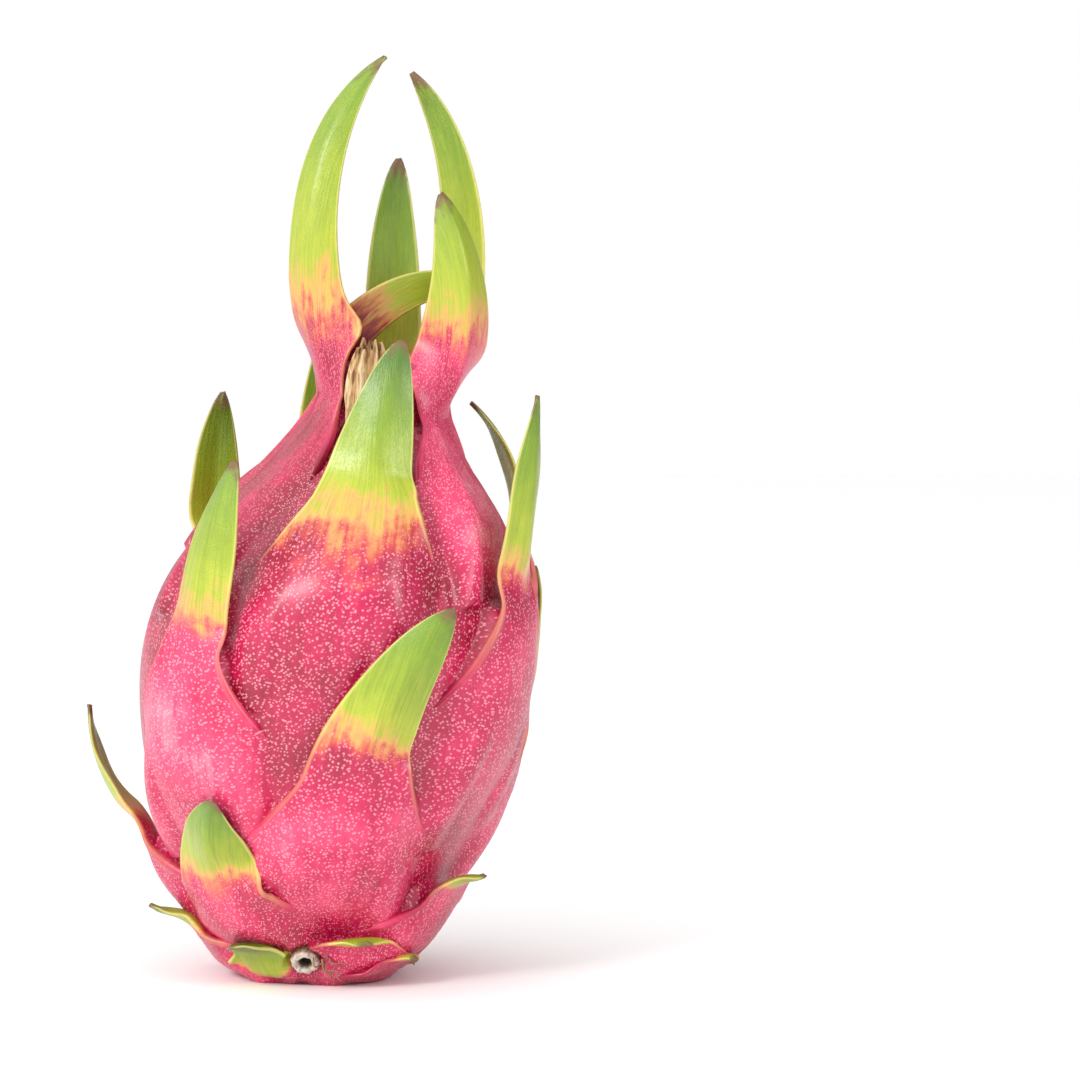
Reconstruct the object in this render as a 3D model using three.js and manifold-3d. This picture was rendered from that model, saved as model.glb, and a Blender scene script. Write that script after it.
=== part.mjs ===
// A whole dragon fruit standing on its stem end: a pear-shaped body with a neck, leaf-like
// scales grown out of the rind all round it, the withered flower in the hollow of the neck
// and the woody scar where the stem was cut. Millimetres, +Z up, front view along +Y,
// origin at the middle of the flat spot that the fruit stands on.

import * as THREE from "three";
import { mergeVertices } from "three/addons/utils/BufferGeometryUtils.js";
import Module from "manifold-3d";

const wasm = await Module();
wasm.setup();

// Driving dimensions of the body, in millimetres.
const BODY_WIDTH = 86; // bare body at its widest, without the swellings under the scales
const NECK_HEIGHT = 134; // the rim of the hollow that the withered flower stands in
const LEAN = 16; // how far the neck stands to the right of the flat spot
const LEAN_START = 2.84; // power of the lean: the lower half is nearly upright
const FOOT_SHIFT = -1; // sideways offset of the lowest slice
const FOOT_FADE = 15; // height over which the foot offset fades out
const OVAL = 0.012; // how far from round the body is, as shares of its radius
const THREE_LOBED = 0.01;

// Outline of the bare body: radius as a share of half the width, height as a share of the
// neck's, from the middle of the foot to the bottom of the hollow in the neck.
const OUTLINE = [
  [0, 0],
  [0.32, 0],
  [0.395, 0.02],
  [0.475, 0.06],
  [0.61, 0.125],
  [0.75, 0.205],
  [0.87, 0.3],
  [0.95, 0.415],
  [0.975, 0.53],
  [0.925, 0.63],
  [0.8, 0.715],
  [0.62, 0.785],
  [0.45, 0.84],
  [0.32, 0.895],
  [0.265, 0.95],
  [0.26, 1],
  [0.2, 1.006],
  [0.14, 0.97],
  [0, 0.955],
];

// Grid counts of the faceted solids.
const BODY_COLUMNS = 46;
const BODY_ROWS = 36;
const SCALE_ROWS = 11;
const PETAL_FOLDS = 7;

// Thickness of a scale, in millimetres.
const SCALE_THICKNESS = 2.7;
const TIP_THICKNESS = 1.0;
const EDGE_SHARE = 0.34; // edge thickness as a share of the middle's
const ROOT_DEPTH = 4; // how far the inner face sinks into the body below the rim

// Scales, from the crown down. azimuth is from the front, and rise, lean and twist are from
// the body's outward direction, all in degrees. rim is the height of the tongue's root.
// length and half are the tongue's, rise and lean are given at its root and tip, ease is the
// power by which the rise changes, and full is how long the tongue keeps its width. stalk is
// the share of its width at the root, collar the lobe just above that, and fold its keel.
// swell is the half width, length and height of the swelling below, and crest the share of
// that length where it is highest. Lengths are in millimetres.
const SCALE_FIELDS =
  "name azimuth rim length half rise ease lean full stalk collar swell crest twist fold".split(" ");
const SCALES = [
  ["crown_left", -58, 127, 80, 6.9, [79, 141], 1.8, [-4, 6], 1.7, 0.62, 0.5, [12, 56, 3], 0.7, 34, 0.3],
  ["crown_back", 170, 128, 52, 6.6, [92, 90], 1, [2, -3], 2.4, 0.8, 0, [12, 46, 3], 0.6, 0, 0.2],
  ["crown_right", 122, 125, 78, 6, [70, 137], 1.6, [4, -4], 2, 0.8, 0, [12, 44, 3], 0.6, 40, 0.3],
  ["crown_front", 62, 120, 52, 8.8, [66, 121], 1.3, [2, -6], 2, 0.62, 0.12, [14, 46, 4], 0.55, -36, 0.7],
  ["crown_curl", -100, 130, 45, 5, [104, 188], 1, [-8, -12], 2.6, 0.9, 0, [10, 44, 3], 0.6, -68, 0.2],
  ["neck_front", 5, 104, 35, 9.6, [112, 98], 1, [12, 16], 1.25, 1, 0, [22, 46, 5.5], 0.4, 0, 0.25],
  ["neck_right", 108, 90, 38, 5.2, [84, 140], 1.2, [0, 0], 2, 1, 0, [19, 46, 5], 0.4, 0, 0.3],
  ["neck_left", -132, 89, 38, 6.8, [88, 108], 1, [0, 4], 1.8, 1, 0, [20, 48, 5], 0.4, -26, 0.4],
  ["neck_back", -168, 101, 36, 8.6, [104, 84], 1, [6, 0], 1.5, 1, 0, [21, 46, 5.5], 0.4, 0, 0.3],
  ["shoulder_front", -39, 74, 42, 7.6, [88, 106], 1, [10, 17], 2, 1, 0, [20, 48, 6.5], 0.4, 0, 0.4],
  ["shoulder_right", 63, 83, 44, 6.8, [80, 90], 1, [0, 2], 2, 1, 0, [21, 54, 6], 0.4, 0, 0.4],
  ["shoulder_back", 152, 80, 43, 8, [84, 102], 1, [4, 6], 1.9, 1, 0, [21, 50, 6], 0.4, 0, 0.4],
  ["waist_front", 12, 50, 41, 10, [72, 84], 1, [18, 38], 1.4, 1, 0, [21, 46, 6.5], 0.35, 0, 0.4],
  ["waist_right", 112, 55, 36, 8.5, [66, 96], 1, [2, 8], 1.6, 1, 0, [20, 44, 6], 0.35, 0, 0.3],
  ["waist_back", -148, 62, 40, 8.6, [70, 98], 1, [4, 8], 1.7, 1, 0, [21, 46, 6], 0.35, 0, 0.3],
  ["waist_left", -92, 33, 32, 6.4, [42, 92], 1, [2, 2], 1.5, 1, 0, [17, 32, 5.5], 0.35, 0, 0.3],
  ["hip_back", 172, 40, 30, 8.4, [56, 90], 1, [0, 10], 1.4, 1, 0, [20, 36, 5.5], 0.35, 0, 0.3],
  ["hip_front", -36, 27, 22, 10.4, [46, 80], 1, [12, 30], 1.4, 1, 0, [17, 28, 5.5], 0.4, 0, 0.4],
  ["hip_right", 60, 22, 10, 7, [26, 30], 1, [4, 4], 1.3, 1, 0, [17, 28, 5.5], 0.4, 0, 0.2],
  ["hip_back_right", 124, 23, 20, 8, [44, 74], 1, [0, 8], 1.4, 1, 0, [17, 28, 5], 0.4, 0, 0.3],
  ["hip_back_left", -128, 26, 22, 8.4, [46, 76], 1, [4, 6], 1.4, 1, 0, [17, 30, 5], 0.4, 0, 0.3],
  ["foot_left", -74, 14, 11, 6, [20, 36], 1, [0, 0], 1.2, 1, 0, [14, 20, 4.5], 0.4, 0, 0.2],
  ["foot_back", 176, 13, 12, 6, [26, 46], 1, [0, 6], 1.3, 1, 0, [14, 18, 4.5], 0.4, 0, 0.2],
  ["foot_front", 22, 11, 5, 9, [12, 0], 1, [0, 0], 1.1, 1, 0, [14, 14, 4.5], 0.35, 0, 0.2],
  ["foot_front_left", -30, 9, 8, 6, [6, 30], 1, [-14, -24], 1.3, 1, 0, [10, 11, 3.5], 0.4, 0, 0.2],
  ["foot_front_right", 46, 7, 6, 6, [4, 20], 1, [6, 10], 1.3, 1, 0, [10, 11, 3.5], 0.4, 0, 0.2],
].map((row) => Object.fromEntries(row.map((value, i) => [SCALE_FIELDS[i], value])));

// Shape of the swellings and of the scales where they leave the body.
const FLARE_SHARE = 0.4; // drop of the free edge, as a share of the swelling's length
const FLARE_POWER = 0.7;
const SWELL_ROUNDNESS = 2.6; // power of the arch across a swelling: the larger, the flatter
const RIM_LEVEL = 0.7; // height of a swelling at its free edge, as a share of its crest's
const VALLEY_POWER = 5; // the larger, the sharper the valleys between swellings
const TUCK_BELOW = 4; // the body is tucked in under a free edge over this distance
const TUCK_ABOVE = 2;
const PROUD = 1.2; // how far a scale stands over the swellings at its rim
const EDGE_LIFT = 0.7;
const SEAM_DEPTH = 0.1;
const SINK = 1.8; // how far its lowest part is sunk under them
const SEAM = [0.06, 0.45, 0.72]; // shares of the swelling's length where those set in
const RELEASE = [-2, 9]; // distances from the rim over which the tongue comes free
const NARROWING = 0.3; // of a scale's buried root
const TIP_POWER = 0.62; // the smaller, the blunter the tips
const TWIST_END = 0.35; // share of the tongue over which it takes up its twist
const STALK_END = 0.3;
const COLLAR_PLACE = 0.17;
const COLLAR_SPREAD = 0.07;

const RAD = Math.PI / 180;
const clamp01 = (x) => Math.min(1, Math.max(0, x));
const mix = (a, b, t) => a + (b - a) * t;

// Smooth step from 0 at low to 1 at high.
function smooth(low, high, x) {
  const t = clamp01((x - low) / (high - low));
  return t * t * (3 - 2 * t);
}

// The outline as a curve of radius and height, evenly spaced by its own length.
const outlineCurve = new THREE.SplineCurve(
  OUTLINE.map(([r, z]) => new THREE.Vector2((r * BODY_WIDTH) / 2, z * NECK_HEIGHT)),
);
const OUTLINE_STEPS = 800;
outlineCurve.arcLengthDivisions = OUTLINE_STEPS;
const OUTLINE_LENGTH = outlineCurve.getLength();

// Radius, height and outward normal of the bare outline at arc length s from the foot.
function outlineAt(s) {
  const u = clamp01(s / OUTLINE_LENGTH);
  const p = outlineCurve.getPointAt(u);
  const t = outlineCurve.getTangentAt(u);
  return { r: Math.max(p.x, 0), z: p.y, nr: t.y, nz: -t.x };
}

// Radius that turns an angle into a distance across, kept off zero near the poles.
const wrapAt = (s) => Math.max(outlineAt(s).r, 6);

// Arc length where the outer side of the outline reaches height z.
function arcAtHeight(z) {
  let low = OUTLINE_LENGTH * 0.06;
  let high = OUTLINE_LENGTH * 0.93;
  for (let i = 0; i < 40; i++) {
    const middle = (low + high) / 2;
    if (outlineAt(middle).z < z) low = middle;
    else high = middle;
  }
  return low;
}

// Sideways place of the body's axis at height z.
function axisX(z) {
  const share = Math.max(z, 0) / NECK_HEIGHT;
  return LEAN * Math.min(share, 1.05) ** LEAN_START + FOOT_SHIFT * Math.exp(-Math.max(z, 0) / FOOT_FADE);
}

// A point of the surface at azimuth theta and arc length s, raised by h along the normal.
function surfacePoint(theta, s, h) {
  const o = outlineAt(s);
  const wobble = 1 + OVAL * Math.sin(2 * theta + 1) + THREE_LOBED * Math.sin(3 * theta + 0.4);
  const r = o.r * wobble + h * o.nr;
  const z = o.z + h * o.nz;
  return new THREE.Vector3(axisX(z) + r * Math.sin(theta), -r * Math.cos(theta), z);
}

// How far the free edge lies below the tongue's root at distance a from the midline.
function rimDrop(scale, a) {
  const root = scale.half * scale.stalk;
  const across = clamp01((Math.abs(a) - root) / (scale.swell[0] - root));
  return FLARE_SHARE * scale.swell[1] * across ** FLARE_POWER;
}

// Height of a scale's swelling at a across and b along from the tongue's root: a flat-topped
// arch across, times a rise to the crest and a smooth fall to nothing below it.
function swelling(scale, a, b) {
  const [half, length, height] = scale.swell;
  if (b > RELEASE[1] || b < -length || Math.abs(a) >= half) return 0;
  const across = 1 - Math.abs(a / half) ** SWELL_ROUNDNESS;
  const y = clamp01((-b - rimDrop(scale, a)) / length);
  const along = mix(RIM_LEVEL, 1, smooth(0, scale.crest, y)) * (1 - smooth(scale.crest, 1, y));
  return height * across * along;
}

// Height of all the swellings at a place on the body: the largest wins, with soft valleys.
// Each is tucked in just under its own free edge, except that of the scale given as free.
function relief(theta, s, free) {
  let sum = 0;
  for (const scale of SCALES) {
    const b = s - scale.arc;
    let turn = theta - scale.azimuth * RAD;
    turn -= 2 * Math.PI * Math.round(turn / (2 * Math.PI));
    const a = turn * wrapAt(s) - b * Math.tan(scale.lean[0] * RAD) * 0.5;
    const height = swelling(scale, a, b);
    if (height === 0) continue;
    const tuck = scale === free ? 1 : smooth(-TUCK_ABOVE, TUCK_BELOW, -b - rimDrop(scale, a));
    sum += (height * tuck) ** VALLEY_POWER;
  }
  return sum ** (1 / VALLEY_POWER);
}

for (const scale of SCALES) scale.arc = arcAtHeight(scale.rim);

// A closed solid from vertices and triangles.
function solidFrom(points, triangles) {
  const geometry = new THREE.BufferGeometry();
  geometry.setAttribute("position", new THREE.Float32BufferAttribute(points.flatMap((p) => p.toArray()), 3));
  geometry.setIndex(triangles);
  return solidOf(geometry);
}

function solidOf(geometry) {
  const bare = geometry.clone();
  bare.deleteAttribute("normal");
  bare.deleteAttribute("uv");
  const merged = mergeVertices(bare, 1e-4);
  return new wasm.Manifold(
    new wasm.Mesh({
      numProp: 3,
      vertProperties: merged.attributes.position.array,
      triVerts: new Uint32Array(merged.index.array),
    }),
  );
}

// Triangles of a wrapped grid whose points follow the point 0, row after row, closed by that
// first point and by the last one.
function wrappedTriangles(rows, columns) {
  const at = (i, j) => 1 + i * columns + (j % columns);
  const last = 1 + rows * columns;
  const triangles = [];
  for (let j = 0; j < columns; j++) {
    triangles.push(0, at(0, j + 1), at(0, j));
    triangles.push(last, at(rows - 1, j), at(rows - 1, j + 1));
    for (let i = 0; i < rows - 1; i++) {
      triangles.push(at(i, j), at(i, j + 1), at(i + 1, j + 1));
      triangles.push(at(i, j), at(i + 1, j + 1), at(i + 1, j));
    }
  }
  return triangles;
}

// The rind without its scales: a grid of azimuth and arc length, closed at both poles.
function bodySolid() {
  const points = [surfacePoint(0, 0, 0)];
  for (let i = 1; i < BODY_ROWS; i++) {
    const s = (OUTLINE_LENGTH * i) / BODY_ROWS;
    for (let j = 0; j < BODY_COLUMNS; j++) {
      const theta = (2 * Math.PI * j) / BODY_COLUMNS;
      points.push(surfacePoint(theta, s, relief(theta, s)));
    }
  }
  points.push(surfacePoint(0, OUTLINE_LENGTH, 0));
  return solidFrom(points, wrappedTriangles(BODY_ROWS - 1, BODY_COLUMNS));
}

// How far a scale's outer face stands over the bare body: over all the swellings, proud at
// its rim with a lifted edge, level with them at the seam and sunk under them below it. v is
// the place across the scale, from -1 to 1.
function scaleLift(scale, b, theta, s, v) {
  const y = -b / scale.swell[1];
  const proud = PROUD + EDGE_LIFT * Math.abs(v) ** 4;
  const over = mix(-SEAM_DEPTH, proud, 1 - smooth(SEAM[0], SEAM[1], y)) - SINK * smooth(SEAM[1], SEAM[2], y);
  return relief(theta, s, scale) + over;
}

// Midline of a scale: the surface point at its rim, then a tongue that bends by rise and
// lean while the blade turns about it by twist. Returns a function of the distance b from
// the rim, negative below it.
function tongueFrames(scale) {
  const theta = scale.azimuth * RAD;
  const out = new THREE.Vector3(Math.sin(theta), -Math.cos(theta), 0);
  const side = new THREE.Vector3(Math.cos(theta), Math.sin(theta), 0);
  const up = new THREE.Vector3(0, 0, 1);
  const steps = 60;
  const direction = (t) => {
    const rise = mix(scale.rise[0], scale.rise[1], clamp01(t) ** scale.ease) * RAD;
    const lean = mix(scale.lean[0], scale.lean[1], clamp01(t)) * RAD;
    return new THREE.Vector3()
      .addScaledVector(out, Math.cos(lean) * Math.cos(rise))
      .addScaledVector(up, Math.cos(lean) * Math.sin(rise))
      .addScaledVector(side, Math.sin(lean));
  };
  const path = [surfacePoint(theta, scale.arc, scaleLift(scale, 0, theta, scale.arc, 0))];
  for (let i = 0; i < steps; i++) {
    const step = direction((i + 0.5) / steps).multiplyScalar(scale.length / steps);
    path.push(path[i].clone().add(step));
  }
  return (b) => {
    const t = b / scale.length;
    const d = direction(t);
    const turn = scale.twist * RAD * smooth(0, TWIST_END, t);
    const across = side.clone().addScaledVector(d, -side.dot(d)).normalize().applyAxisAngle(d, turn);
    const normal = across.clone().cross(d);
    if (b < 0) return { place: path[0].clone().addScaledVector(d, b), across, normal };
    const k = Math.min(steps - 1, Math.floor(t * steps));
    return { place: path[k].clone().lerp(path[k + 1], t * steps - k), across, normal };
  };
}

// Half width of a scale at distance b from the rim: above it the tongue, narrow at the stalk,
// with a lobe above that and a taper to the tip; below it the flare to the swelling's sides.
function halfWidth(scale, b) {
  const t = clamp01(b / scale.length);
  const lobe = scale.collar * Math.exp(-(((t - COLLAR_PLACE) / COLLAR_SPREAD) ** 2));
  if (b >= 0) {
    const stalk = mix(scale.stalk, 1, smooth(0, STALK_END, t));
    return scale.half * (stalk + lobe) * Math.max(0, 1 - t ** scale.full) ** TIP_POWER;
  }
  const y = clamp01(-b / (FLARE_SHARE * scale.swell[1]));
  const narrow = 1 - NARROWING * smooth(FLARE_SHARE, SEAM[2], -b / scale.swell[1]);
  return narrow * mix(scale.half * (scale.stalk + lobe), scale.swell[0], y ** (1 / FLARE_POWER));
}

// One scale as a closed blade. Its middle sheet follows the swelling below the rim and the
// bending tongue above it; the outer and inner faces lie on either side.
const ACROSS = [-1, -0.6, 0, 0.6, 1];
function scaleSolid(scale) {
  const frames = tongueFrames(scale);
  const bodyRadius = outlineAt(scale.arc).r + scale.swell[2];
  const lowest = -SEAM[2] * scale.swell[1];
  const rows = [];
  for (let i = 0; i < SCALE_ROWS; i++) {
    const b = mix(lowest, scale.length - 0.3, (i / (SCALE_ROWS - 1)) ** 0.85);
    const half = Math.max(halfWidth(scale, b), 0.7);
    const s = Math.min(scale.arc + b, OUTLINE_LENGTH * 0.88);
    const frame = frames(b);
    const row = ACROSS.map((v) => {
      const a = half * v;
      const theta = scale.azimuth * RAD + (a + b * Math.tan(scale.lean[0] * RAD) * 0.5) / wrapAt(s);
      const held = surfacePoint(theta, s, scaleLift(scale, b, theta, s, v));
      const sag = (a * a) / (2 * bodyRadius) + scale.fold * (Math.hypot(a, 1) - 1);
      const free = frame.place.clone().addScaledVector(frame.across, a).addScaledVector(frame.normal, -sag);
      return held.lerp(free, smooth(RELEASE[0], RELEASE[1], b));
    });
    row.b = b;
    rows.push(row);
  }
  // Unit normals of the middle sheet from its neighbours, facing out of the fruit.
  const last = ACROSS.length - 1;
  const normalAt = (i, j) => {
    const along = rows[Math.min(i + 1, SCALE_ROWS - 1)][j].clone().sub(rows[Math.max(i - 1, 0)][j]);
    const across = rows[i][Math.min(j + 1, last)].clone().sub(rows[i][Math.max(j - 1, 0)]);
    return across.cross(along).normalize();
  };
  const points = [];
  rows.forEach((row, i) => {
    const thickness = mix(SCALE_THICKNESS, TIP_THICKNESS, clamp01(row.b / scale.length));
    const depth = thickness + ROOT_DEPTH * (1 - smooth(-10, 0, row.b));
    const inner = row.map((p, j) => {
      return p.clone().addScaledVector(normalAt(i, j), -depth * mix(1, EDGE_SHARE, ACROSS[j] ** 2));
    });
    points.push(...row, ...inner.reverse());
  });
  const ring = 2 * ACROSS.length;
  const centre = (list) => list.reduce((sum, p) => sum.add(p), new THREE.Vector3()).divideScalar(ring);
  const ends = [centre(points.slice(0, ring)), centre(points.slice(-ring))];
  return solidFrom([ends[0], ...points, ends[1]], wrappedTriangles(SCALE_ROWS, ring));
}

// The withered flower: a wrinkled, open-topped sheath against the front of the neck, as rings
// of folds carried up a slightly curved line. grow makes it wider, for the hole that it
// stands in.
const FLOWER_FOOT = new THREE.Vector3(10.8, -13, 116);
const FLOWER_TOP = new THREE.Vector3(11.6, -11.4, 140);
const FLOWER_RADIUS = 4.8;
const FLOWER_CLEARANCE = 0.4;
// Height share, radius share and fold depth of each ring, up the outside and down the inside.
const FLOWER_RINGS = [
  [0, 0.8, 0.04],
  [0.25, 0.98, 0.08],
  [0.5, 1, 0.12],
  [0.72, 0.9, 0.16],
  [0.9, 0.68, 0.2],
  [1, 0.5, 0.22],
  [0.99, 0.34, 0.2],
  [0.86, 0.26, 0.1],
];
function flowerSolid(grow) {
  const columns = PETAL_FOLDS * 4;
  const hole = grow > 0;
  const rings = hole ? FLOWER_RINGS.slice(0, 6) : FLOWER_RINGS;
  const points = [FLOWER_FOOT.clone()];
  for (const [share, radius, fold] of rings) {
    const centre = FLOWER_FOOT.clone().lerp(FLOWER_TOP, hole ? mix(-0.04, 1.3, share) : share);
    centre.y += 1.2 * Math.sin(Math.PI * share);
    for (let j = 0; j < columns; j++) {
      const angle = (2 * Math.PI * j) / columns;
      const folds = hole ? 1 + fold : 1 + fold * Math.cos(PETAL_FOLDS * angle + share * 2);
      const r = FLOWER_RADIUS * (hole ? Math.max(radius, 0.98) : radius) * folds + grow;
      points.push(centre.clone().add(new THREE.Vector3(r * Math.cos(angle), r * Math.sin(angle), 0)));
    }
  }
  points[0].z -= hole ? 0.6 : 0;
  points.push(FLOWER_FOOT.clone().lerp(FLOWER_TOP, hole ? 1.3 : 0.84));
  return solidFrom(points, wrappedTriangles(rings.length, columns));
}

// The stem scar: a short woody plug with a hollow in its face, turned to point out of the
// lower front of the fruit. grow makes it wider, for the hole that it stands in.
const SCAR_RADIUS = 3.1;
const SCAR_AZIMUTH = -4;
const SCAR_HEIGHT = 7.5;
const SCAR_LIFT = 2; // how far its seat stands over the bare body
const SCAR_TILT = 38; // degrees that it points below the horizontal
const SCAR_ROOT = 6;
const SCAR_HOLLOW = 1.6; // depth of the hollow in its face
const SCAR_FLOOR = 0.4; // its lowest point over the ground
const SCAR_CLEARANCE = 0.35;
function scarSolid(grow) {
  const hollow = grow > 0 ? 0 : SCAR_HOLLOW;
  const reach = grow * 20;
  const profile = [
    [0, -SCAR_ROOT - grow],
    [SCAR_RADIUS * 0.8 + grow, -SCAR_ROOT - grow],
    [SCAR_RADIUS + grow, -1],
    [SCAR_RADIUS + grow, 1 + reach],
    [SCAR_RADIUS * 0.7, 1.6 + reach],
    [SCAR_RADIUS * 0.42, 1 + reach],
    [0, 1 - hollow + reach],
  ].map(([r, y]) => new THREE.Vector2(r, y));
  const geometry = new THREE.LatheGeometry(profile, 20);
  const theta = SCAR_AZIMUTH * RAD;
  const tilt = SCAR_TILT * RAD;
  const outward = new THREE.Vector3(
    Math.cos(tilt) * Math.sin(theta),
    -Math.cos(tilt) * Math.cos(theta),
    -Math.sin(tilt),
  );
  geometry.applyQuaternion(new THREE.Quaternion().setFromUnitVectors(new THREE.Vector3(0, 1, 0), outward));
  const seat = surfacePoint(theta, arcAtHeight(SCAR_HEIGHT), SCAR_LIFT);
  geometry.translate(seat.x, seat.y, seat.z);
  return solidOf(geometry);
}

// A block that fills everything below height z, used to trim the flat spot.
function groundBlock(z) {
  const size = 300;
  const geometry = new THREE.BoxGeometry(size, size, size);
  geometry.translate(0, 0, z - size / 2);
  return solidOf(geometry);
}

// Keeps the outer skin of a fused solid: hollows that the fusing sealed are filled, and
// loose scraps are dropped.
function largestBody(solid) {
  return solid.decompose().reduce((best, body) => (body.volume() > best.volume() ? body : best));
}

function meshOf(name, solid, material) {
  const { numProp, vertProperties, triVerts } = solid.getMesh();
  const positions = new Float32Array((vertProperties.length / numProp) * 3);
  for (let i = 0; i < positions.length / 3; i++) {
    positions.set(vertProperties.subarray(i * numProp, i * numProp + 3), i * 3);
  }
  const geometry = new THREE.BufferGeometry();
  geometry.setAttribute("position", new THREE.BufferAttribute(positions, 3));
  geometry.setIndex(new THREE.BufferAttribute(new Uint32Array(triVerts), 1));
  geometry.computeVertexNormals();
  const mesh = new THREE.Mesh(geometry, material);
  mesh.name = name;
  return mesh;
}

const rind = new THREE.MeshStandardMaterial({ color: 0xd81e5b, roughness: 0.45, metalness: 0 });
const driedPetal = new THREE.MeshStandardMaterial({ color: 0xb8975a, roughness: 0.85, metalness: 0 });
const wood = new THREE.MeshStandardMaterial({ color: 0x4a3520, roughness: 0.9, metalness: 0 });

let fused = bodySolid();
for (const scale of SCALES) fused = fused.add(scaleSolid(scale));
fused = fused.subtract(flowerSolid(FLOWER_CLEARANCE));
fused = fused.subtract(scarSolid(SCAR_CLEARANCE));
fused = fused.subtract(groundBlock(0));

const fruit = new THREE.Group();
fruit.add(meshOf("fruit", largestBody(fused), rind));
fruit.add(meshOf("dried_flower", flowerSolid(0), driedPetal));
fruit.add(meshOf("stem_scar", scarSolid(0).subtract(groundBlock(SCAR_FLOOR)), wood));

export default fruit;
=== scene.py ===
"""A whole dragon fruit: rind with grown scales, withered flower, stem scar, and a plain stage."""

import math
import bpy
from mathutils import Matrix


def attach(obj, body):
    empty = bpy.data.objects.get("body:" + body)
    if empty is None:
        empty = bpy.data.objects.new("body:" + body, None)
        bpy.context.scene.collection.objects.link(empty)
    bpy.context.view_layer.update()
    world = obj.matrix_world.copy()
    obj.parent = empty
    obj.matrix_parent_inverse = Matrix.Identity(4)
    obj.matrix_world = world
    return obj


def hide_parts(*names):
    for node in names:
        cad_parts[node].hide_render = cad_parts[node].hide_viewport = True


bl_info = {
    "name": "Dragon Fruit",
    "version": (1, 0, 0),
    "blender": (4, 5, 0),
    "location": "View3D > Sidebar > Fruit",
    "description": "Builds a whole dragon fruit, its withered flower and its stem scar",
    "category": "Add Mesh",
}

from collections import namedtuple

import bpy
import numpy as np
from bpy.props import FloatProperty, FloatVectorProperty, IntProperty, PointerProperty
from bpy.types import Operator, Panel, PropertyGroup
from mathutils import Vector

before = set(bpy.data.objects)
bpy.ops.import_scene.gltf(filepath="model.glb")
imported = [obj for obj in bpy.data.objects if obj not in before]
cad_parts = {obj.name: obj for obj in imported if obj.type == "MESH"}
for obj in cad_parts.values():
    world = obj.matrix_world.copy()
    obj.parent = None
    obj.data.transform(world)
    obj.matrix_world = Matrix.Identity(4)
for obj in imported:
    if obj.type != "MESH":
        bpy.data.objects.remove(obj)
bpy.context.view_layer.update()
MM = 0.001

# Outline of the bare body: radius as a share of half the width, height as a share of the
# neck's, from the middle of the foot to the bottom of the hollow in the neck.
OUTLINE = (
    (0, 0),
    (0.32, 0),
    (0.395, 0.02),
    (0.475, 0.06),
    (0.61, 0.125),
    (0.75, 0.205),
    (0.87, 0.3),
    (0.95, 0.415),
    (0.975, 0.53),
    (0.925, 0.63),
    (0.8, 0.715),
    (0.62, 0.785),
    (0.45, 0.84),
    (0.32, 0.895),
    (0.265, 0.95),
    (0.26, 1),
    (0.2, 1.006),
    (0.14, 0.97),
    (0, 0.955),
)

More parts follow.
